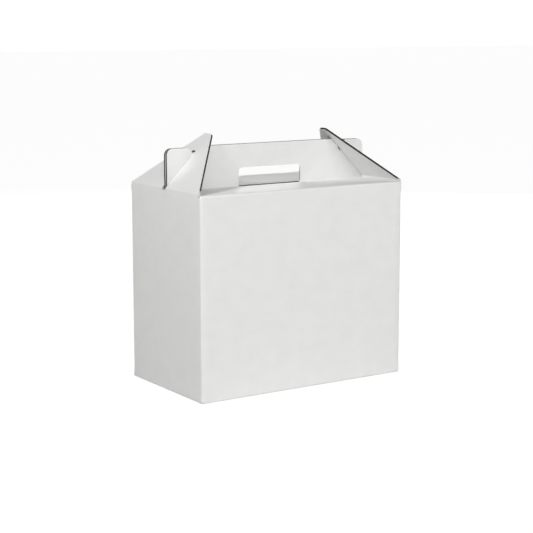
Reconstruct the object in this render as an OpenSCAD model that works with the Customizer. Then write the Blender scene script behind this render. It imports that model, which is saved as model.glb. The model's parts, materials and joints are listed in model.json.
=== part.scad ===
// Gable box: a carry carton folded from one sheet of white corrugated board.
// Origin at the centre of the bottom, X along the length, Y front to back, Z up.
// The four walls, the interlocking bottom, the two roof panels and the two handle plies are one folded
// sheet. The two end flaps hinge on the end walls and hook over the handle through their slots.

/* [Carton] */
// Outside length, over the two end walls
body_l = 340; // [280:1:420]
// Outside depth, over the front and back walls
body_w = 194; // [170:1:240]
// Height of the walls, from the floor to the eaves
body_h = 283; // [200:1:360]
// Thickness of the corrugated board
board = 3; // [2:0.1:4]
// Radius on the inside of every fold
fold_in_r = 0.5; // [0.3:0.1:1]
// Width of the glue flap inside the back corner
glue_w = 35; // [25:1:45]

/* [Roof and handle] */
// Drop of the roof from the eaves to the handle
roof_dip = 3; // [1:0.5:6]
// Height of the handle's top edge above the eaves
handle_rise = 57; // [52:1:70]
// Gap between the two plies of the handle
ply_gap = 2; // [0.6:0.1:4]
// Corner radius at the two ends of the handle
handle_corner_r = 9; // [4:0.5:14]
// Length of the hand hole
hole_l = 107; // [85:1:125]
// Height of the top of the hand hole above the eaves
hole_rise = 22; // [18:1:28]
// Height of the hand hole's lower edge above the fold
hole_sill = 1; // [0.5:0.1:3]
// Corner radius of the hand hole
hole_r = 6; // [3:0.5:8]

/* [End flaps] */
// Lean of the closed end flaps from the vertical
flap_lean = 45; // [40:1:50]
// Height of the end flaps' crease above the eaves
crease_rise = 1.5; // [1:0.1:3]
// Set-back of the end flaps' lower corners from the front and back faces
flap_inset = 3.5; // [3.5:0.1:8]
// Width of the small foot at each lower corner of the end flaps
flap_foot = 3.5; // [3:0.5:10]
// Board between the end of the slot and the tip of the flap
flap_past_slot = 33.5; // [26:0.5:44]
// Width of the flap's tip
flap_tip_w = 16; // [11:0.5:24]
// Corner radius of the flap's tip
flap_tip_r = 4; // [2:0.5:4.5]
// Depth below the handle's top edge at which the end of the flap's slot hooks in
hook_depth = 7; // [5:0.5:12]
// How far the notch in the handle runs on below the end of the slot
notch_run = 11; // [4:0.5:14]
// How much wider the notch gets towards its bottom
notch_splay = 1.4; // [0.5:0.1:3]
// Corner radius where the notch opens at the handle's top edge
notch_r = 4; // [1:0.5:6]

/* [Bottom] */
// Reach of the front and back bottom flaps past the middle of the box
flap_overlap = 10; // [6:1:14]
// Set-back of the front bottom flap from the end walls
lock_inset = 13; // [12:0.5:20]
// Width of the locking tongue
tongue_w = 150; // [110:1:170]
// Length of the tongue's slope, up through the recess
tongue_slope = 25; // [20:1:30]
// Length of the tongue's flat tip, on top of the back flap
tongue_tip = 25; // [18:1:30]
// How far the tongue's tip grips over the back flap
tongue_grip = 17; // [10:1:17]
// Corner radius of the bottom flaps' free corners
bottom_r = 8; // [4:0.5:12]
// Length over which a bottom flap bends up to its layer
layer_bend = 9; // [7:0.5:9]

/* [Clearances] */
// Between the root of an end flap and the wall's top edge
fold_clear = 0.3; // [0.2:0.05:0.5]
// Between the slot's sides and the handle plies
slot_clear = 0.4; // [0.3:0.05:1]
// Between the end flap and the notch that it hooks into
hook_clear = 0.4; // [0.3:0.05:1]
// Between the layers of the bottom
layer_gap = 0.4; // [0.2:0.05:0.6]
// Thickness of the glue between the glue flap and the back wall
glue_line = 0.2; // [0.1:0.05:0.4]
// Between a bottom flap's edge and what stands beside it
edge_gap = 1; // [0.5:0.1:2]

/* [Hidden] */
board_white = [0.89, 0.89, 0.88];
arc_steps = 6;
// How far the stretches of the sheet that are drawn apart run into each other
lap = board / 3;

// Folds, and the span of flat wall between two of them
fold_r = fold_in_r + board;
half_l = body_l / 2;
half_w = body_w / 2;
flat_l = body_l - 2 * fold_r;
flat_w = body_w - 2 * fold_r;

// Roof and handle, in the plane across the box
roof_slope = atan2(roof_dip, half_w);
ply_out = ply_gap / 2 + board;
eave_y = -half_w + fold_r;
eave_z = body_h - fold_r;
foot_y = -ply_out - fold_in_r;
roof_climb = fold_r + fold_in_r - (foot_y - eave_y) * sin(roof_slope);
foot_z = eave_z + roof_climb / cos(roof_slope);
handle_top = body_h + handle_rise;

// End flaps: the pivot is the middle of the board at the crease
pivot_x = half_l - board / 2;
pivot_z = body_h + crease_rise;
wall_top = pivot_z - board / 2 - fold_clear;
tab_bottom = wall_top + fold_clear;
hook_height = handle_top - pivot_z;
slot_l = (hook_height - hook_depth) / cos(flap_lean);
slot_w = 2 * ply_out + 2 * slot_clear;
flap_l = slot_l + flap_past_slot;
flap_w = body_w - 2 * flap_inset;

// Bottom: layer 0 is the front flap, 1 the end flaps, 2 the back flap and 3 the tongue's tip
layer = board + layer_gap;
long_reach = half_w + flap_overlap;
tongue_reach = long_reach + tongue_slope + tongue_tip;
recess_d = body_w - tongue_reach + tongue_grip;
recess_w = tongue_w + 2 * bottom_r + 4 * edge_gap;
end_reach = half_l - tongue_w / 2 - 3 * edge_gap;
back_bend = 2 * layer_bend;
glue_end = 3 * layer + board + edge_gap;

function unit(v) = v / norm(v);
function heading(v) = atan2(v[1], v[0]);
function turn(from, to) = atan2(sin(to - from), cos(to - from));

// Points of an arc about a centre
function arc(centre, r, from, to) = [
    for (i = [0 : arc_steps])
        let (a = from + (to - from) * i / arc_steps)
        centre + r * [cos(a), sin(a)]
];

// The arc that rounds the corner b between the neighbours a and c
function round_corner(a, b, c, r) =
    let (
        u = unit(a - b),
        v = unit(c - b),
        half = acos(u * v) / 2,
        centre = b + unit(u + v) * r / sin(half),
        from = heading(b + u * r / tan(half) - centre),
        to = heading(b + v * r / tan(half) - centre)
    )
    arc(centre, r, from, from + turn(from, to));

// A closed outline from corners given as [x, y, radius]; a radius of 0 leaves the corner sharp
function outline(corners) = [
    for (i = [0 : len(corners) - 1])
        let (
            n = len(corners),
            a = corners[(i + n - 1) % n],
            b = corners[i],
            c = corners[(i + 1) % n]
        )
        each (b[2] > 0
            ? round_corner([a[0], a[1]], [b[0], b[1]], [c[0], c[1]], b[2])
            : [[b[0], b[1]]])
];

// Stands a profile drawn across the box up, and runs it along the length
module along_x(length) {
    rotate([90, 0, 90])
        linear_extrude(height = length, center = true) children();
}

// Stands an outline drawn from the front up, from the depth y backwards
module across_y(y, thickness) {
    translate([0, y + thickness, 0])
        rotate([90, 0, 0])
            linear_extrude(height = thickness) children();
}

// Section of the walls: from the glue flap's fold round by the right, front and left to the back
module sleeve_section() {
    seam = [half_l - fold_r, half_w - board - glue_line - fold_r];
    near_right = [half_l - fold_r, -half_w + fold_r];
    near_left = [-half_l + fold_r, -half_w + fold_r];
    far_left = [-half_l + fold_r, half_w - fold_r];
    polygon(concat(
        [seam + [-lap, fold_r]],
        arc(seam, fold_r, 90, 0),
        arc(near_right, fold_r, 360, 270),
        arc(near_left, fold_r, 270, 180),
        arc(far_left, fold_r, 180, 90),
        [far_left + [lap, fold_r], far_left + [lap, fold_in_r]],
        arc(far_left, fold_in_r, 90, 180),
        arc(near_left, fold_in_r, 180, 270),
        arc(near_right, fold_in_r, 270, 360),
        arc(seam, fold_in_r, 0, 90),
        [seam + [-lap, fold_in_r]]
    ));
}

// The back wall ends in a raw edge at the glued corner
module walls() {
    translate([0, 0, fold_r])
        linear_extrude(height = body_h - 2 * fold_r) {
            sleeve_section();
            translate([-half_l + fold_r, half_w - board])
                square([body_l - fold_r, board]);
        }
    for (side = [-1, 1])
        translate([side * pivot_x - board / 2, -flat_w / 2, eave_z - lap])
            cube([board, flat_w, wall_top - eave_z + lap]);
}

// Glue flap: inside the back wall, with tapered ends and the glue that holds it there
module glue_flap() {
    start = half_l - fold_r;
    end = half_l - glue_w;
    taper = glue_w / 4;
    across_y(half_w - 2 * board - glue_line, board + glue_line + lap)
        polygon([
            [start, glue_end],
            [end, glue_end + taper],
            [end, body_h - glue_end - taper],
            [start, body_h - glue_end]
        ]);
}

// Front half of the roof: fold at the eave, panel sloping in, fold up into the handle
module roof_panel() {
    eave = [eave_y, eave_z];
    foot = [foot_y, foot_z];
    along_x(flat_l)
        polygon(concat(
            [eave + [-fold_r, -lap]],
            arc(eave, fold_r, 180, 90 - roof_slope),
            arc(foot, fold_in_r, 270 - roof_slope, 360),
            [foot + [fold_in_r, hole_sill], foot + [fold_r, hole_sill]],
            arc(foot, fold_r, 360, 270 - roof_slope),
            arc(eave, fold_in_r, 90 - roof_slope, 180),
            [eave + [-fold_in_r, -lap]]
        ));
}

// Left half of the handle's edge, from the foot round the tab and through the notch to the top.
// The tab's inner edge is an arc about the end flap's crease, so that the slot swings past it.
// The notch runs on below the end of the slot, along the closed flap.
function handle_edge() =
    let (
        hook_r = slot_l - hook_clear,
        side = board / 2 + hook_clear,
        pivot = [-pivot_x, pivot_z],
        up = [sin(flap_lean), cos(flap_lean)],
        in = [cos(flap_lean), -sin(flap_lean)],
        from = asin(hook_height / hook_r),
        to = 90 - flap_lean + asin(side / hook_r),
        notch_end = slot_l - notch_run,
        waist = pivot + slot_l * up + side * in,
        lip = pivot + (hook_height / cos(flap_lean) + side * tan(flap_lean)) * up + side * in
    )
    concat(
        [[-flat_l / 2, foot_z], [-flat_l / 2, tab_bottom], [-half_l, tab_bottom]],
        arc([-half_l + handle_corner_r, handle_top - handle_corner_r], handle_corner_r, 180, 90),
        arc(pivot, hook_r, from, to),
        [pivot + notch_end * up - side * in, pivot + notch_end * up + (side + notch_splay) * in],
        [waist],
        round_corner(waist, lip, lip + [body_l / 4, 0], notch_r)
    );

// One ply of the handle, with both tabs, the notches and the hand hole
module handle_ply() {
    left = handle_edge();
    right = [for (i = [len(left) - 1 : -1 : 0]) [-left[i][0], left[i][1]]];
    across_y(-ply_out, board)
        difference() {
            polygon(concat(left, right));
            polygon(outline([
                [-hole_l / 2, foot_z + hole_sill, hole_r],
                [hole_l / 2, foot_z + hole_sill, hole_r],
                [hole_l / 2, body_h + hole_rise, hole_r],
                [-hole_l / 2, body_h + hole_rise, hole_r]
            ]));
        }
}

// Profile of a bottom flap, from the outer face of its wall inwards: the fold, the bend up to its
// layer, and the flat
module flap_profile(level, bend, reach) {
    lean = atan2(level, bend);
    shift = board * tan(lean / 2);
    polygon(concat(
        [[0, fold_r + lap]],
        arc([fold_r, fold_r], fold_r, 180, 270),
        [[fold_r + shift, 0], [fold_r + shift + bend, level], [reach, level]],
        [[reach, level + board], [fold_r + bend, level + board]],
        arc([fold_r, fold_r], fold_in_r, 270, 180),
        [[board, fold_r + lap]]
    ));
}

// Front bottom flap: goes in last, with the tongue that locks into the back flap's recess
module front_bottom_flap() {
    half = half_l - lock_inset;
    climb = 3 * layer;
    lean = atan2(climb, tongue_slope);
    shift = board * tan(lean / 2);
    lift = long_reach + tongue_slope;
    translate([0, -half_w, 0]) {
        intersection() {
            along_x(flat_l)
                flap_profile(0, layer_bend, long_reach);
            linear_extrude(height = 3 * layer)
                polygon(outline([
                    [-flat_l / 2, 0, 0],
                    [flat_l / 2, 0, 0],
                    [flat_l / 2, fold_r, 0],
                    [half, fold_r, 0],
                    [half - bottom_r, long_reach, bottom_r],
                    [-half + bottom_r, long_reach, bottom_r],
                    [-half, fold_r, 0],
                    [-flat_l / 2, fold_r, 0]
                ]));
        }
        intersection() {
            along_x(tongue_w)
                polygon([
                    [long_reach - bottom_r, 0],
                    [long_reach + shift, 0],
                    [lift + shift, climb],
                    [tongue_reach, climb],
                    [tongue_reach, climb + board],
                    [lift, climb + board],
                    [long_reach, board],
                    [long_reach - bottom_r, board]
                ]);
            linear_extrude(height = climb + board)
                polygon(outline([
                    [-tongue_w / 2, long_reach - bottom_r, 0],
                    [tongue_w / 2, long_reach - bottom_r, 0],
                    [tongue_w / 2 - bottom_r, tongue_reach, bottom_r],
                    [-tongue_w / 2 + bottom_r, tongue_reach, bottom_r]
                ]));
        }
    }
}

// Back bottom flap: goes in first, with the recess between its two legs
module back_bottom_flap() {
    half = flat_l / 2 - edge_gap;
    translate([0, half_w, 0])
        mirror([0, 1, 0]) {
            intersection() {
                along_x(flat_l)
                    flap_profile(2 * layer, back_bend, long_reach);
                linear_extrude(height = 3 * layer)
                    difference() {
                        polygon(outline([
                            [-flat_l / 2, 0, 0],
                            [flat_l / 2, 0, 0],
                            [flat_l / 2, fold_r, 0],
                            [half, fold_r, 0],
                            [half - bottom_r, long_reach, bottom_r],
                            [-half + bottom_r, long_reach, bottom_r],
                            [-half, fold_r, 0],
                            [-flat_l / 2, fold_r, 0]
                        ]));
                        polygon(outline([
                            [-recess_w / 2 + bottom_r, recess_d, bottom_r],
                            [recess_w / 2 - bottom_r, recess_d, bottom_r],
                            [recess_w / 2, long_reach + bottom_r, 0],
                            [-recess_w / 2, long_reach + bottom_r, 0]
                        ]));
                    }
            }
        }
}

// End bottom flap on the left: between the front and back flaps, cut back where the back flap bends up
module end_bottom_flap() {
    crease = flat_w / 2 - edge_gap;
    back = half_w - fold_r - back_bend - board - edge_gap;
    translate([-half_l, 0, 0])
        intersection() {
            rotate([90, 0, 0])
                linear_extrude(height = flat_w, center = true)
                    flap_profile(layer, layer_bend - fold_in_r, end_reach);
            linear_extrude(height = 2 * layer)
                polygon(outline([
                    [0, -crease, 0],
                    [fold_r, -crease, 0],
                    [end_reach, -crease + bottom_r, bottom_r],
                    [end_reach, back - bottom_r, bottom_r],
                    [fold_r, back, 0],
                    [fold_r, crease, 0],
                    [0, crease, 0]
                ]));
        }
}

// The folded sheet, all but its two end flaps
module carton() {
    color(board_white) {
        walls();
        glue_flap();
        for (side = [0, 1])
            mirror([0, side, 0]) {
                roof_panel();
                handle_ply();
            }
        front_bottom_flap();
        back_bottom_flap();
        for (side = [0, 1])
            mirror([side, 0, 0]) end_bottom_flap();
    }
}

// An end flap: a tapered panel with a round root at its crease, a small foot at each lower corner and
// a slot for the handle's tabs
module end_flap() {
    color(board_white)
        translate([-pivot_x, 0, pivot_z])
            rotate([0, flap_lean, 0])
                difference() {
                    union() {
                        along_x(board)
                            polygon(outline([
                                [-flap_w / 2, 0, 0],
                                [flap_w / 2, 0, 0],
                                [flap_w / 2 - flap_foot, board, 2 * flap_foot],
                                [flap_tip_w / 2, flap_l, flap_tip_r],
                                [-flap_tip_w / 2, flap_l, flap_tip_r],
                                [-flap_w / 2 + flap_foot, board, 2 * flap_foot]
                            ]));
                        rotate([90, 0, 0])
                            cylinder(h = flap_w, d = board, center = true, $fn = 32);
                    }
                    translate([-board, -slot_w / 2, -board])
                        cube([2 * board, slot_w, board + slot_l]);
                }
}

module left_end_flap() {
    end_flap();
}

module right_end_flap() {
    mirror([1, 0, 0]) end_flap();
}

carton();
left_end_flap();
right_end_flap();
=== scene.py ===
import json
import math

import bmesh
import bpy
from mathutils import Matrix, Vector


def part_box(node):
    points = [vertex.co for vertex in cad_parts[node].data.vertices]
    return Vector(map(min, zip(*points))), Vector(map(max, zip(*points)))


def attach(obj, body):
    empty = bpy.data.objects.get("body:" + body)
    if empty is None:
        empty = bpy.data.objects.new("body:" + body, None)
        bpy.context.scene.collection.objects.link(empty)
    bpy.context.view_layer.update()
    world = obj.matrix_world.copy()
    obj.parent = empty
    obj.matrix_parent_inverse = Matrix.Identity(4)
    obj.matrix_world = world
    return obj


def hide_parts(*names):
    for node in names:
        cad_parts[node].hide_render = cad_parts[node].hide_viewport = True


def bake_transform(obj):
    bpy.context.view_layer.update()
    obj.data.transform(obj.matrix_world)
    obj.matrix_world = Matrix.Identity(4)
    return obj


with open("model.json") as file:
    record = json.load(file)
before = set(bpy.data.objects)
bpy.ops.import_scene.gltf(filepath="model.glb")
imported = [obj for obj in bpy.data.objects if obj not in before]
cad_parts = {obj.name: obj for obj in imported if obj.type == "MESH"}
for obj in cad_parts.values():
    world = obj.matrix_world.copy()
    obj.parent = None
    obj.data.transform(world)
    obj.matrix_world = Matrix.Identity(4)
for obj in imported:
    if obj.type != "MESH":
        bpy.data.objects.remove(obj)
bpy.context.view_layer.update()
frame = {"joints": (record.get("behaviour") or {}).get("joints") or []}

# The board: white single-wall corrugated board, three sheets of paper glued into one. A smooth outer and
# inner liner lie on both sides of a fluted sheet, whose flutes run up the walls of the box.
# Every part of the box is cut out of it flat, outer face up, and folded afterwards.
mm = 0.001
BOARD = 3 * mm
LINER = 0.3 * mm
FLUTED = 0.25 * mm
GLUE_FILM = 0.02 * mm
FLUTE_PITCH = 6.4 * mm
FLUTE_FACETS = 6
FOLD_IN_R = 0.5 * mm
FOLD_R = FOLD_IN_R + BOARD
FOLD_MID_R = FOLD_IN_R + BOARD / 2
QUARTER_FOLD = math.pi / 2 * FOLD_MID_R
NEAR = 0.01 * mm


def object_from(name, bm):
    mesh = bpy.data.meshes.new(name)
    bm.to_mesh(mesh)
    bm.free()
    made = bpy.data.objects.new(name, mesh)
    bpy.context.scene.collection.objects.link(made)
    return made


def thicken(bm, height):
    """Gives a flat sheet its thickness, upwards."""
    made = bmesh.ops.extrude_face_region(bm, geom=bm.faces[:])
    raised = [part for part in made["geom"] if isinstance(part, bmesh.types.BMVert)]
    bmesh.ops.translate(bm, vec=(0, 0, height), verts=raised)
    bmesh.ops.recalc_face_normals(bm, faces=bm.faces[:])


# A die starts below the board and ends above it
DIE_BELOW = 3 * BOARD
DIE_HEIGHT = 5 * BOARD
CORNER_STEPS = 6


def cutting_die(outlines):
    """A cutter through the board, from outlines whose corners are (x, y, corner radius)."""
    bm = bmesh.new()
    for corners in outlines:
        verts = [bm.verts.new((x, y, -DIE_BELOW)) for x, y, radius in corners]
        bm.faces.new(verts)
        for vert, (x, y, radius) in zip(verts, corners):
            if radius:
                one, other = [edge.other_vert(vert).co - vert.co for edge in vert.link_edges]
                bmesh.ops.bevel(
                    bm, geom=[vert], offset=radius / math.tan(one.angle(other) / 2), offset_type="OFFSET",
                    segments=CORNER_STEPS, profile=0.5, affect="VERTICES", material=-1)
    thicken(bm, DIE_HEIGHT)
    return object_from("die", bm)


def paper_sheet(depth, thickness, amplitude, scores, x_range, y_range):
    """One sheet of paper as it comes from the roll, scored where the box will fold. A score is
    (axis, place, from x, to x)."""
    bm = bmesh.new()
    step = FLUTE_PITCH / FLUTE_FACETS
    first, last = math.floor(x_range[0] / step) - 1, math.ceil(x_range[1] / step) + 1
    columns = last - first if amplitude else 1
    bmesh.ops.create_grid(bm, x_segments=columns, y_segments=1, size=0.5)
    bmesh.ops.scale(bm, vec=((last - first) * step, y_range[1] - y_range[0], 1), verts=bm.verts)
    centre = ((first + last) / 2 * step, (y_range[0] + y_range[1]) / 2, 0)
    bmesh.ops.translate(bm, vec=centre, verts=bm.verts)
    for axis, place, x_from, x_to in scores:
        faces = [f for f in bm.faces if x_from < f.calc_center_bounds().x < x_to]
        geom = set(faces)
        for face in faces:
            geom.update(face.edges)
            geom.update(face.verts)
        across = (1, 0, 0) if axis == "x" else (0, 1, 0)
        bmesh.ops.bisect_plane(
            bm, geom=list(geom), dist=NEAR / 10, plane_co=Vector(across) * place, plane_no=across)
    for vert in bm.verts:
        wave = math.sin(2 * math.pi * vert.co.x / FLUTE_PITCH)
        vert.co.z = amplitude * wave - depth - thickness
    thicken(bm, thickness)
    return object_from("paper", bm)


# Straight parts that a fold is scored into, finer in the liners than in the fluted sheet between them
LINER_PARTS = 6
FLUTED_PARTS = 3
# Places in a piece's list of materials: the liners' faces, their cut edges, and all that lies between them,
# which is painted near black as painted shade for the hollows of the flutes at a cut edge
WHITE_FACE, LINER_EDGE, CORE_PAINTED_SHADE = 0, 1, 2
SHARP_EDGE = math.radians(50)


def cut_out(name, outline, holes, pressed, long_scores, cross_scores, fold):
    """Cuts a piece of board along its outline and round its holes, and folds it point by point. In the
    pressed areas, (from x, from y, to x, to y), the die has crushed the cut edge shut, so it shows white."""
    die = cutting_die([outline])
    punch = cutting_die(holes)
    xs, ys = [c[0] for c in outline], [c[1] for c in outline]
    x_range, y_range = (min(xs), max(xs)), (min(ys) - BOARD, max(ys) + BOARD)
    amplitude = (BOARD - FLUTED) / 2 - LINER - GLUE_FILM
    layers = [
        (0, LINER, 0, LINER_PARTS), (BOARD - LINER, LINER, 0, LINER_PARTS),
        ((BOARD - FLUTED) / 2, FLUTED, amplitude / math.sin(math.pi / 3), FLUTED_PARTS)]
    bm = bmesh.new()
    for depth, thickness, wave, parts in layers:
        scores = cross_scores(parts) + (long_scores(parts) if not wave else [])
        sheet = paper_sheet(depth, thickness, wave, scores[::-1], x_range, y_range)
        for tool, operation in ((die, "INTERSECT"), (punch, "DIFFERENCE")):
            cut = sheet.modifiers.new(operation, "BOOLEAN")
            cut.operation = operation
            cut.solver = "MANIFOLD"
            cut.object = tool
        ready = bpy.data.meshes.new_from_object(sheet.evaluated_get(bpy.context.evaluated_depsgraph_get()))
        known = len(bm.faces)
        bm.from_mesh(ready)
        bm.faces.ensure_lookup_table()
        printed_side = 1 if depth == 0 else -1
        # Faces inside the board take the near-black fluting, which is painted shade for the hollows of a cut
        # edge.
        for face in bm.faces[known:]:
            face.normal_update()
            x, y = face.calc_center_median().xy
            if any(x_from < x < x_to and y_from < y < y_to for x_from, y_from, x_to, y_to in pressed):
                face.material_index = WHITE_FACE
            elif wave or face.normal.z * printed_side < -0.5:
                face.material_index = CORE_PAINTED_SHADE
            else:
                face.material_index = WHITE_FACE if abs(face.normal.z) > 0.5 else LINER_EDGE
        bpy.data.objects.remove(sheet)
    for tool in (die, punch):
        bpy.data.objects.remove(tool)
    flat_map = bm.loops.layers.uv.new("flat sheet")
    for face in bm.faces:
        face.smooth = True
        for loop in face.loops:
            loop[flat_map].uv = loop.vert.co.xy
    for vert in bm.verts:
        vert.co = fold(vert.co.x, vert.co.y, -vert.co.z)
    made = object_from(name, bm)
    made.data.set_sharp_from_angle(angle=SHARP_EDGE)
    return made


# The folds. The walls stand along one path in plan; each roof panel and bottom flap follows another
# path in from its own wall. A path follows the outer face, and every fold has the board's own radius.
def fold_path(steps, start, ahead, inward):
    """Steps are a straight run and the fold after it, in degrees: above 0 it turns in, below 0 out.
    A last straight run has no end."""
    gone, point, ahead, inward = 0.0, Vector(start), Vector(ahead), Vector(inward)
    path = []
    for run, degrees in steps:
        if run:
            path.append((gone, point, ahead, inward, 0))
            gone, point = gone + run, point + ahead * run
        turn = math.radians(degrees)
        radius = FOLD_R if turn > 0 else -FOLD_IN_R
        path.append((gone, point, ahead, inward, turn))
        centre = point + inward * radius
        ahead, inward = (
            ahead * math.cos(turn) + inward * math.sin(turn),
            inward * math.cos(turn) - ahead * math.sin(turn))
        gone, point = gone + abs(turn) * FOLD_MID_R, centre - inward * radius
    path.append((gone, point, ahead, inward, 0))
    return path


def along(path, distance, depth):
    """The point that lies this far along the path and this deep in the board."""
    reached = [stretch for stretch in path if stretch[0] <= distance + NEAR]
    begin, point, ahead, inward, turn = reached[-1] if reached else path[0]
    gone = distance - begin
    if not turn or not reached:
        return point + ahead * gone + inward * depth
    radius = FOLD_R if turn > 0 else -FOLD_IN_R
    angle = math.copysign(gone / FOLD_MID_R, turn)
    turned = inward * math.cos(angle) - ahead * math.sin(angle)
    return point + inward * radius - turned * (radius - depth)


def reach_length(path, reach):
    """How far along the board a folded flap's reach lies."""
    begin, point, ahead = [s for s in path if not s[4] and s[1].x <= reach][-1][:3]
    return begin + (reach - point.x) / ahead.x


def fold_lines(path, parts):
    """Where the board is scored: each fold in parts, and a line close to it on both sides."""
    lines = []
    for begin, point, ahead, inward, turn in path:
        if turn:
            length = abs(turn) * FOLD_MID_R
            lines += [begin + length * i / parts for i in range(parts + 1)]
            lines += [begin - FOLD_MID_R / 2, begin + length + FOLD_MID_R / 2]
    return lines


def ramp(before, quarter, climb, run):
    """Steps that bend a bottom flap up to its layer and level it again."""
    tilt = math.atan2(climb, run)
    rise = climb - (FOLD_R + FOLD_IN_R) * (1 - math.cos(tilt))
    return [(before, quarter + math.degrees(tilt)), (rise / math.sin(tilt), -math.degrees(tilt))]


half_l, half_w, handle_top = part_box("carton")[1]
pivot = Vector([joint for joint in frame["joints"] if joint["name"] == "right_flap_fold"][0]["pos_m"])
eaves = pivot.z - BOARD / 2
wall_foot = FOLD_R
wall_head = eaves - FOLD_R

# Plan of the walls, from the back's raw edge at the seam round by the left, the front and the right to the
# glue flap, which lies inside the back
GLUE_W = 35 * mm
GLUE_LINE = 0.2 * mm
long_flat = 2 * (half_l - FOLD_R)
end_flat = 2 * (half_w - FOLD_R)
seam_flat = end_flat - BOARD - GLUE_LINE
plan = fold_path(
    [(FOLD_R + long_flat, 90), (end_flat, 90), (long_flat, 90), (seam_flat, 90)],
    (half_l, half_w), (-1, 0), (0, -1))
back, left, front, right, glue = plan[::2]
SLIT = 0.15 * mm
corners_at = [left[0] - SLIT / 2, left[0] + end_flat + SLIT / 2, right[0] - SLIT / 2]

# Paths up over the roof and down under the bottom, as distances in from the outer face and heights
ROOF_DIP = 3 * mm
PLY_OUT = 4 * mm
LAYER = 3.4 * mm
LAYER_BEND = 9 * mm
TONGUE_RUN = 25 * mm
PAST_MIDDLE = 10 * mm
CUT_BELOW_PIVOT = 2.5 * mm
slope = math.atan2(ROOF_DIP, half_w)
roof_run = half_w - PLY_OUT - FOLD_R - FOLD_IN_R - (FOLD_R + FOLD_IN_R) * math.sin(slope)
roof_turn = 90 + math.degrees(slope)
roof_steps = [(0, roof_turn), (roof_run / math.cos(slope), -roof_turn)]
roof_up = fold_path(roof_steps, (0, wall_head), (0, 1), (1, 0))
long_reach = half_w + PAST_MIDDLE
floor_start = (0, wall_foot), (0, -1), (1, 0)
front_down = fold_path([(0, 90)] + ramp(long_reach - FOLD_R, 0, 3 * LAYER, TONGUE_RUN), *floor_start)
back_down = fold_path(ramp(0, 90, 2 * LAYER, 2 * LAYER_BEND), *floor_start)
end_down = fold_path(ramp(0, 90, LAYER, LAYER_BEND - FOLD_IN_R), *floor_start)
end_up = [(0, Vector((0, wall_head)), Vector((0, 1)), Vector((1, 0)), 0)]
walls = [
    (back, roof_up, back_down), (left, end_up, end_down),
    (front, roof_up, front_down), (right, end_up, end_down)]
cut_line = pivot.z - CUT_BELOW_PIVOT


def middle(wall):
    """Where the middle of a wall lies on the flat board."""
    return wall[0] - wall[1].dot(wall[2])


def wall_point(wall, path, x, length, depth):
    """A point of a panel that bends only across its own wall."""
    across, height = along(path, length, depth)
    foot = wall[1] + wall[2] * (x - wall[0]) + wall[3] * across
    return Vector((foot.x, foot.y, height))


# A score crushes the board beside it too, so the walls round off softly towards their corners
SOFT_DEPTH = 0.7 * mm
SOFT_RISE = 12 * mm
SOFT_LONG = 7 * mm
SOFT_END = 12 * mm
soft_folds = [
    (plan[1][0], SOFT_LONG, SOFT_END), (plan[3][0], SOFT_END, SOFT_LONG), (plan[5][0], SOFT_LONG, SOFT_END)]


def shoulder(x, y):
    """How far a wall draws in beside its corners."""
    beside = min(
        max((start - x) / before, (x - start - QUARTER_FOLD) / after, 0)
        for start, before, after in soft_folds)
    from_end = min(y - wall_foot, wall_head - y) / SOFT_RISE
    return SOFT_DEPTH * max(1 - beside, 0) ** 2 * min(max(from_end, 0), 1)


# The handle's plies touch at the top and bottom of each tab's outer edge and gape between
TAB_PINCH = 0.8 * mm
TAB_BOW = 0.3 * mm
TAB_FROM = 110 * mm
TAB_FOOT = 4 * mm
ply_lift = wall_head + roof_up[-1][0] - roof_up[-1][1].y
ply_start = wall_head + roof_up[-1][0]


def pinch(out, y):
    """How far a ply leans in to the other one, this far out from the middle of the handle."""
    side = min(max((out - TAB_FROM) / (half_l - TAB_FROM), 0), 1)
    end = (2 * (y - ply_lift - eaves) / (handle_top - eaves) - 1) ** 2
    return (TAB_PINCH * end - TAB_BOW * (1 - end)) * side ** 2 * min(max((y - ply_start) / TAB_FOOT, 0), 1)


# The hand hole in the front ply and the larger one in the rear ply, as (low x, low y, high x, high y) on the
# flat board, and the area round the front one that the die has crushed thin
HOLE = -51 * mm, -2.5 * mm, 54.5 * mm, 23.5 * mm
REAR_HOLE = -59 * mm, -3.5 * mm, 57 * mm, 25 * mm
HOLE_CRUSH = 2.5 * mm
CRUSHED_AWAY = 0.8
hole_area = (
    middle(front) + HOLE[0] - HOLE_CRUSH, ply_start + HOLE[1] - HOLE_CRUSH,
    middle(front) + HOLE[2] + HOLE_CRUSH, eaves + ply_lift + HOLE[3] + HOLE_CRUSH)


def crushed(x, y, depth):
    """The depth that is left of the board beside the hand hole."""
    beyond = max(hole_area[0] - x, x - hole_area[2], hole_area[1] - y, y - hole_area[3])
    return depth * (1 + CRUSHED_AWAY * max(min(beyond / HOLE_CRUSH, 0), -1))


def inward_at(x):
    """The direction in through the walls, in plan."""
    return (along(plan, x, BOARD) - along(plan, x, 0)) / BOARD


def fold_carton(x, y, depth):
    if wall_foot - NEAR <= y <= wall_head + NEAR:
        return Vector((*(along(plan, x, depth) + inward_at(x) * shoulder(x, y)), y))
    if y > cut_line + NEAR:
        index = 0 if x < middle(left) else 2
    else:
        index = sum(x > corner for corner in corners_at)
    wall, up, down = walls[index]
    path, length = (down, wall_foot - y) if y < wall_foot else (up, y - wall_head)
    if length < QUARTER_FOLD and index % 2 == 0:
        across, height = along(path, length, depth)
        return Vector((*(along(plan, x, 0) + inward_at(x) * across), height))
    point = wall_point(wall, path, x, length, crushed(x, y, depth))
    if y > ply_start:
        point += Vector((*wall[3], 0)) * pinch(abs(x - middle(wall)), y)
    return point


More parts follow.
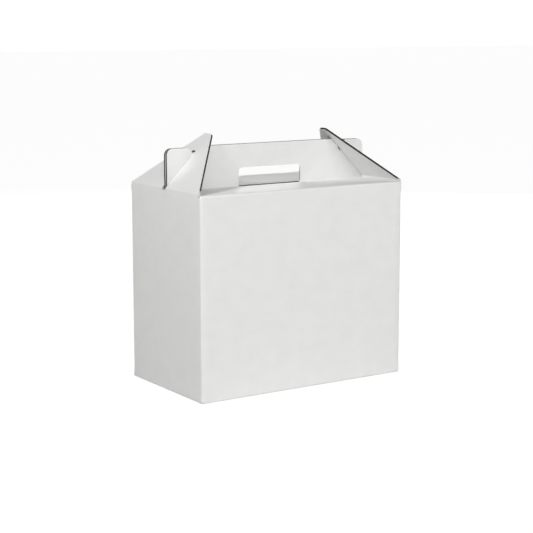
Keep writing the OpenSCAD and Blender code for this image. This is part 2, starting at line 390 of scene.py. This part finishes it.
# The carton: glue flap, four walls, roof panels, the two plies of the handle and the bottom flaps, in one
# piece of board. The bottom flaps lie in layers: front, ends, back, and the front flap's tongue on top.
# Corners are (x, y, radius), measured from the middle of their own wall.
EDGE_GAP = 1 * mm
BOTTOM_R = 8 * mm
LOCK_INSET = 13 * mm
TONGUE_FLAT = 25 * mm
RECESS_FROM = 54 * mm
WRAP_SHARE = 0.8
heel = wall_foot - QUARTER_FOLD
lock_half = half_l - LOCK_INSET
tongue_half = 75 * mm
front_reach = wall_foot - reach_length(front_down, long_reach)
tongue_reach = wall_foot - reach_length(front_down, long_reach + TONGUE_RUN + TONGUE_FLAT)
wrap = QUARTER_FOLD - SLIT
wrap_rise = WRAP_SHARE * QUARTER_FOLD
wrap_down = [
    (long_flat / 2 + wrap, wall_foot, 0), (long_flat / 2 + wrap, wall_foot - wrap_rise, 0),
    (long_flat / 2, wall_foot - wrap_rise, 0)]
front_bottom = wrap_down + [
    (long_flat / 2, heel, 0), (lock_half, heel, 0),
    (lock_half - BOTTOM_R, front_reach, BOTTOM_R), (tongue_half, front_reach, 0),
    (tongue_half - BOTTOM_R, tongue_reach, BOTTOM_R)]

recess_half = tongue_half + BOTTOM_R + 2 * EDGE_GAP
back_reach = wall_foot - reach_length(back_down, long_reach)
recess_reach = wall_foot - reach_length(back_down, RECESS_FROM)
back_bottom = wrap_down + [
    (long_flat / 2 - EDGE_GAP, heel, 0),
    (long_flat / 2 - EDGE_GAP - BOTTOM_R, back_reach, BOTTOM_R), (recess_half - EDGE_GAP, back_reach, 0),
    (recess_half - BOTTOM_R, recess_reach, BOTTOM_R)]

end_crease = end_flat / 2 - EDGE_GAP
seam_crease = seam_flat - end_flat / 2
end_back = end_flat / 2 - 2 * LAYER_BEND - BOARD - EDGE_GAP
end_reach = wall_foot - reach_length(end_down, half_l - tongue_half - 3 * EDGE_GAP)


def end_bottom(back_crease):
    """Round an end's bottom flap from its back corner to its front one."""
    return [
        (-back_crease, wall_foot, 0), (-min(back_crease, end_crease), heel, 0), (-end_back, heel, 0),
        (BOTTOM_R - end_back, end_reach, BOTTOM_R), (end_crease - BOTTOM_R, end_reach, BOTTOM_R),
        (end_crease, heel, 0), (end_flat / 2, wall_foot, 0)]


# Half of the edge of the handle and its tab: the tab's inner edge is an arc about the end flap's crease, and
# the notch runs on below the end of the flap's slot, along the closed flap
HOOK_CLEAR = 0.4 * mm
HOOK_GAP = 5.5 * mm
TAB_SET_BACK = 3 * mm
TAB_DROP = 1.5 * mm
HOOK_DEPTH = 7 * mm
NOTCH_RUN = 11 * mm
NOTCH_SPLAY = 1.8 * mm
NOTCH_R = 0.7 * mm
LIP_R = 4 * mm
TAB_FOOT_R = 0.3 * mm
TAB_R = 9 * mm
# The arc's radius is a little short, so that it fits between its neighbours
HOOK_FIT = 0.97
LEAN = math.radians(45)
hook_rise = handle_top - pivot.z
slot_length = (hook_rise - HOOK_DEPTH) / math.cos(LEAN)
hook_r = slot_length - HOOK_GAP
hook_side = BOARD / 2 + HOOK_CLEAR
hook_top = math.asin((hook_rise - TAB_DROP) / hook_r)
hook_low = math.pi / 2 - LEAN + math.asin(hook_side / hook_r)
hook_bend = (hook_top - hook_low) / 2
notch_end = slot_length - NOTCH_RUN


def from_pivot(angle, distance, radius):
    """A corner this far from the end flap's crease, at an angle up from level."""
    return pivot.x - distance * math.cos(angle), pivot.z + distance * math.sin(angle) + ply_lift, radius


def from_flap(distance, inward, radius):
    """A corner this far up the closed flap and this far in from the middle of its board."""
    x = pivot.x - distance * math.sin(LEAN) - inward * math.cos(LEAN)
    return x, pivot.z + distance * math.cos(LEAN) - inward * math.sin(LEAN) + ply_lift, radius


ply_edge = [
    (long_flat / 2 + wrap, wall_head, 0), (long_flat / 2 + wrap, wall_head + wrap_rise, 0),
    (long_flat / 2, wall_head + wrap_rise, 0),
    (long_flat / 2, pivot.z - BOARD / 2 + ply_lift, 0),
    (half_l - TAB_SET_BACK, pivot.z - BOARD / 2 + ply_lift, TAB_FOOT_R),
    (half_l - TAB_SET_BACK, handle_top - TAB_DROP + ply_lift, TAB_R),
    from_pivot(hook_top, hook_r, 0),
    from_pivot(hook_low + hook_bend, hook_r / math.cos(hook_bend), HOOK_FIT * hook_r),
    from_pivot(hook_low, hook_r, 0),
    from_flap(notch_end, -hook_side, NOTCH_R), from_flap(notch_end, hook_side + NOTCH_SPLAY, NOTCH_R),
    from_flap(slot_length, hook_side, 0),
    from_flap(hook_rise / math.cos(LEAN) + hook_side * math.tan(LEAN), hook_side, LIP_R)]


def both_sides(corners):
    """The other side's corners, and then these back again."""
    return [(-x, y, radius) for x, y, radius in corners] + corners[::-1]


def placed(wall, corners):
    return [(middle(wall) + x, y, radius) for x, y, radius in corners]


glue_end = 3 * LAYER + BOARD + EDGE_GAP
glue_taper = GLUE_W / 4
sheet_end = glue[0] + GLUE_W - FOLD_R
carton_outline = [
    (0, wall_foot, 0),
    *placed(back, both_sides(back_bottom)),
    *placed(left, end_bottom(end_flat / 2)),
    *placed(front, both_sides(front_bottom)),
    *placed(right, [(-x, y, radius) for x, y, radius in end_bottom(seam_crease)[::-1]]),
    (glue[0], wall_foot, 0), (glue[0], glue_end, 0), (sheet_end, glue_end + glue_taper, 0),
    (sheet_end, eaves - glue_end - glue_taper, 0), (glue[0], eaves - glue_end, 0), (glue[0], wall_head, 0),
    *placed(right, [(seam_crease, wall_head, 0), (seam_crease, cut_line, 0)]),
    *placed(right, [(-end_flat / 2, cut_line, 0), (-end_flat / 2, wall_head, 0)]),
    *placed(front, both_sides(ply_edge)[::-1]),
    *placed(left, [(end_flat / 2, wall_head, 0), (end_flat / 2, cut_line, 0)]),
    *placed(left, [(-end_flat / 2, cut_line, 0), (-end_flat / 2, wall_head, 0)]),
    *placed(back, both_sides(ply_edge)[::-1]),
    (0, wall_head, 0)]


HOLE_R = 6 * mm
HOLE_SHARP_R = 1.5 * mm


def hand_hole(wall, low, sill, high, top):
    foot, head = ply_start + sill, eaves + ply_lift + top
    return placed(wall, [
        (low, foot, HOLE_SHARP_R), (high, foot, HOLE_R), (high, head, HOLE_R), (low, head, HOLE_R)])


# Lines where the sheet is divided so that it can bend: a line's ends, past both ends of the sheet, and the
# lines in mm out from the handle's middle and up from the eaves, where the plies lean together
SHEET_FROM, SHEET_TO = -1, 2
PINCH_OUT = 115, 128, 140, 150, 159
PINCH_UP = range(0, 57, 8)
SOFT_PARTS = 4


def carton_long_scores(parts):
    places = fold_lines(plan, parts)
    for start, before, after in soft_folds:
        for part in range(1, SOFT_PARTS + 1):
            places.append(start - before * part / SOFT_PARTS)
        for part in range(1, SOFT_PARTS + 1):
            places.append(start + QUARTER_FOLD + after * part / SOFT_PARTS)
    places += [hole_area[0], hole_area[0] + HOLE_CRUSH / 2, hole_area[2] - HOLE_CRUSH / 2, hole_area[2]]
    for wall in (front, back):
        places += [middle(wall) + side * out * mm for side in (-1, 1) for out in PINCH_OUT]
    return [("x", place, SHEET_FROM, SHEET_TO) for place in places]


def carton_cross_scores(parts):
    scores = []
    for index, (wall, up, down) in enumerate(walls):
        x_from = ([SHEET_FROM] + corners_at)[index]
        x_to = (corners_at + [SHEET_TO])[index]
        scores += [("y", wall_foot - place, x_from, x_to) for place in fold_lines(down, parts)]
        scores += [("y", wall_head + place, x_from, x_to) for place in fold_lines(up, parts)]
    heights = []
    for rise in (SOFT_RISE / 2, SOFT_RISE):
        heights += [wall_foot + rise, wall_head - rise]
    heights += [eaves + ply_lift + rise * mm for rise in PINCH_UP]
    heights.append(hole_area[3])
    return scores + [("y", height, SHEET_FROM, SHEET_TO) for height in heights]


carton = cut_out(
    "carton_board", carton_outline, [hand_hole(front, *HOLE), hand_hole(back, *REAR_HOLE)],
    [hole_area], carton_long_scores, carton_cross_scores, fold_carton)
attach(carton, "carton")
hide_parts("carton")

# The two end flaps: tapered panels that are still part of the end walls' board and bend at a crease.
# Each has a long slot, dropped over the tabs of the handle when the box is shut.
PAST_SLOT = 32 * mm
FOOT_W = 3.5 * mm
TIP_R = 4 * mm
SLOT_R = 1 * mm
SLOT_BELOW_CREASE = 0.3 * mm
CREASE_PARTS = 8
flap_length = slot_length + PAST_SLOT
crease_run = pivot.z - FOLD_MID_R * math.tan(LEAN / 2) - wall_head
flap_up = fold_path([(crease_run, math.degrees(LEAN))], (0, wall_head), (0, 1), (1, 0))
crease_line = wall_head + flap_up[-1][0] - FOLD_MID_R * math.tan(LEAN / 2)


def end_flap(name, wall, node, last_crease, tip_half, root):
    """Last crease is where the crease ends, and up to the root the cut edge is crushed shut."""
    outline = [
        (-end_flat / 2, cut_line, 0), (last_crease, cut_line, 0), (last_crease, crease_line, 0),
        (end_flat / 2 - FOOT_W, crease_line + BOARD, 2 * FOOT_W),
        (tip_half, crease_line + flap_length, TIP_R), (-tip_half, crease_line + flap_length, TIP_R),
        (FOOT_W - end_flat / 2, crease_line + BOARD, 2 * FOOT_W),
        (-end_flat / 2, crease_line, 0)]
    slot_half = PLY_OUT + HOOK_CLEAR
    slot_from, slot_to = pivot.z - BOARD / 2 - SLOT_BELOW_CREASE, crease_line + slot_length
    slot = [
        (-slot_half, slot_from, 0), (slot_half, slot_from, 0),
        (slot_half, slot_to, SLOT_R), (-slot_half, slot_to, SLOT_R)]
    x_from, x_to = middle(wall) - half_w, middle(wall) + half_w
    flap = cut_out(
        name, placed(wall, outline), [placed(wall, slot)], [(x_from, cut_line, x_to, crease_line + root)],
        lambda parts: [],
        lambda parts: [
            ("y", place, x_from, x_to) for place in
            [crease_line + root] + [wall_head + place for place in fold_lines(flap_up, CREASE_PARTS)]],
        lambda x, y, depth: wall_point(wall, flap_up, x, y - wall_head, depth))
    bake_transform(flap)
    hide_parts(node)
    return flap


left_flap = end_flap(
    "left_end_flap_board", left, "left_end_flap", end_flat / 2, 9 * mm, 7 * mm)
right_flap = end_flap(
    "right_end_flap_board", right, "right_end_flap", seam_crease, 7 * mm, 2 * mm)


# Finish: a matt white coated liner with the faint washboard of the flutes and a fine paper grain, the
# liners' cut edges, which show the grey stock under the coating, and the fluted sheet, painted near black,
# far darker than its brown-grey stock: painted shade for the hollows between the flutes at a cut edge.
def principled(name, roughness, specular):
    material = bpy.data.materials.new(name)
    material.use_nodes = True
    shader = material.node_tree.nodes["Principled BSDF"]
    shader.inputs["Roughness"].default_value = roughness
    shader.inputs["Specular IOR Level"].default_value = specular
    return material, material.node_tree.nodes, material.node_tree.links, shader


# Pulp: how paper varies, as a cloudy value and as the fine height of its fibres
pulp = bpy.data.node_groups.new("pulp", "ShaderNodeTree")
pulp.interface.new_socket("Place", in_out="INPUT", socket_type="NodeSocketVector")
pulp.interface.new_socket("Cloud", in_out="OUTPUT", socket_type="NodeSocketFloat")
pulp.interface.new_socket("Fibre", in_out="OUTPUT", socket_type="NodeSocketFloat")
inside, outside = pulp.nodes.new("NodeGroupInput"), pulp.nodes.new("NodeGroupOutput")
for socket, scale, detail in (("Cloud", 45, 3), ("Fibre", 1600, 2)):
    noise = pulp.nodes.new("ShaderNodeTexNoise")
    noise.inputs["Scale"].default_value = scale
    noise.inputs["Detail"].default_value = detail
    pulp.links.new(inside.outputs["Place"], noise.inputs["Vector"])
    pulp.links.new(noise.outputs["Fac"], outside.inputs[socket])


def paper(name, roughness, specular, dark, pale, relief):
    """A material whose colour clouds between two tones and whose surface has fibres this deep."""
    material, nodes, links, shader = principled(name, roughness, specular)
    place = nodes.new("ShaderNodeUVMap")
    place.uv_map = "flat sheet"
    varied = nodes.new("ShaderNodeGroup")
    varied.node_tree = pulp
    tint = nodes.new("ShaderNodeValToRGB")
    tint.color_ramp.elements[0].position = 0.3
    tint.color_ramp.elements[0].color = (*dark, 1)
    tint.color_ramp.elements[1].position = 0.7
    tint.color_ramp.elements[1].color = (*pale, 1)
    fibres = nodes.new("ShaderNodeBump")
    fibres.inputs["Distance"].default_value = relief
    fibres.inputs["Strength"].default_value = 0.5
    links.new(place.outputs["UV"], varied.inputs["Place"])
    links.new(varied.outputs["Cloud"], tint.inputs["Fac"])
    links.new(tint.outputs["Color"], shader.inputs["Base Color"])
    links.new(varied.outputs["Fibre"], fibres.inputs["Height"])
    links.new(fibres.outputs["Normal"], shader.inputs["Normal"])
    return material, nodes, links, place, fibres


liner, nodes, links, place, fibres = paper(
    "white_liner", 0.62, 0.3, (0.835, 0.834, 0.826), (0.862, 0.861, 0.853), 0.02 * mm)
washboard = nodes.new("ShaderNodeTexWave")
washboard.wave_type = "BANDS"
washboard.bands_direction = "X"
# At scale 1 the texture has a band every 2 pi / 20
washboard.inputs["Scale"].default_value = 2 * math.pi / 20 / FLUTE_PITCH
washboard.inputs["Distortion"].default_value = 0
ridges = nodes.new("ShaderNodeBump")
ridges.inputs["Distance"].default_value = 0.012 * mm
ridges.inputs["Strength"].default_value = 0.6
links.new(place.outputs["UV"], washboard.inputs["Vector"])
links.new(washboard.outputs["Fac"], ridges.inputs["Height"])
links.new(ridges.outputs["Normal"], fibres.inputs["Normal"])
cut_edge = paper("cut_edge", 0.85, 0.2, (0.24, 0.228, 0.215), (0.36, 0.345, 0.33), 0.06 * mm)[0]
# Near black, darker than the stock's own brown-grey: painted shade for the hollows of the flutes.
fluting_painted_shade = paper("fluting_painted_shade", 0.9, 0.15, (0.045, 0.04, 0.036), (0.08, 0.073, 0.067), 0.06 * mm)[0]

for piece in (carton, left_flap, right_flap):
    for material in (liner, cut_edge, fluting_painted_shade):
        piece.data.materials.append(material)


# Floor, light and camera: a white table and room that the camera sees as plain white, softboxes in front,
# above and to the sides that light the box as in the photo, and one behind it for the back wall. A softbox
# has a place, the point it faces, a size in metres and a power in watts.
def seen_directly(nodes, links):
    """1 for what the camera sees directly, by reflection or through something, else 0."""
    path = nodes.new("ShaderNodeLightPath")
    total = path.outputs["Is Camera Ray"]
    for ray in ("Is Glossy Ray", "Is Transmission Ray"):
        either = nodes.new("ShaderNodeMath")
        either.operation = "MAXIMUM"
        links.new(total, either.inputs[0])
        links.new(path.outputs[ray], either.inputs[1])
        total = either.outputs["Value"]
    return total


bm = bmesh.new()
bmesh.ops.create_grid(bm, x_segments=1, y_segments=1, size=20)
floor = object_from("floor", bm)
paint, nodes, links, shader = principled("floor_white", 0.9, 0.1)
shader.inputs["Base Color"].default_value = (0.85, 0.85, 0.85, 1)
glow = nodes.new("ShaderNodeEmission")
glow.inputs["Strength"].default_value = 1.12
share = nodes.new("ShaderNodeMath")
share.operation = "MULTIPLY"
share.inputs[1].default_value = 0.86
mix = nodes.new("ShaderNodeMixShader")
links.new(seen_directly(nodes, links), share.inputs[0])
links.new(share.outputs["Value"], mix.inputs["Fac"])
links.new(shader.outputs["BSDF"], mix.inputs[1])
links.new(glow.outputs["Emission"], mix.inputs[2])
links.new(mix.outputs["Shader"], nodes["Material Output"].inputs["Surface"])
floor.data.materials.append(paint)

world = bpy.data.worlds.new("studio")
bpy.context.scene.world = world
world.use_nodes = True
nodes, links = world.node_tree.nodes, world.node_tree.links
studio = nodes["Background"]
studio.inputs["Color"].default_value = (1, 1, 1, 1)
studio.inputs["Strength"].default_value = 0.03
backdrop = nodes.new("ShaderNodeBackground")
backdrop.inputs["Color"].default_value = (1, 1, 1, 1)
backdrop.inputs["Strength"].default_value = 1
mix = nodes.new("ShaderNodeMixShader")
links.new(seen_directly(nodes, links), mix.inputs["Fac"])
links.new(studio.outputs["Background"], mix.inputs[1])
links.new(backdrop.outputs["Background"], mix.inputs[2])
links.new(mix.outputs["Shader"], nodes["World Output"].inputs["Surface"])


def softbox(name, location, target, size, power):
    lamp = bpy.data.lights.new(name, "AREA")
    lamp.shape = "SQUARE"
    lamp.size = size
    lamp.energy = power
    made = bpy.data.objects.new(name, lamp)
    made.location = location
    made.rotation_euler = (Vector(target) - Vector(location)).to_track_quat("-Z", "Y").to_euler()
    bpy.context.scene.collection.objects.link(made)


softbox("front_softbox", (0.3, -2.2, 0.8), (0, 0, 0.15), 1.6, 18.4)
softbox("right_softbox", (1.3, -1.9, 0.6), (0, 0, 0.2), 1.0, 6)
softbox("high_softbox", (-1.2, -1.9, 1.7), (0, 0, 0.2), 1.2, 15)
softbox("left_softbox", (-1.0, -0.2, 1.1), (0, 0, 0.2), 0.3, 8)
softbox("back_softbox", (1.5, 1.7, 0.35), (0, 0, 0.2), 1.0, 24)

camera_data = bpy.data.cameras.new("camera")
camera_data.sensor_width = 36
camera_data.lens = 97.63
camera = bpy.data.objects.new("camera", camera_data)
camera.location = (-1.1392, -1.7229, 0.5125)
camera.rotation_euler = (math.radians(90 - 9.691), 0, math.radians(-33.444))
bpy.context.scene.collection.objects.link(camera)
bpy.context.scene.camera = camera
bpy.context.scene.view_settings.view_transform = "Standard"
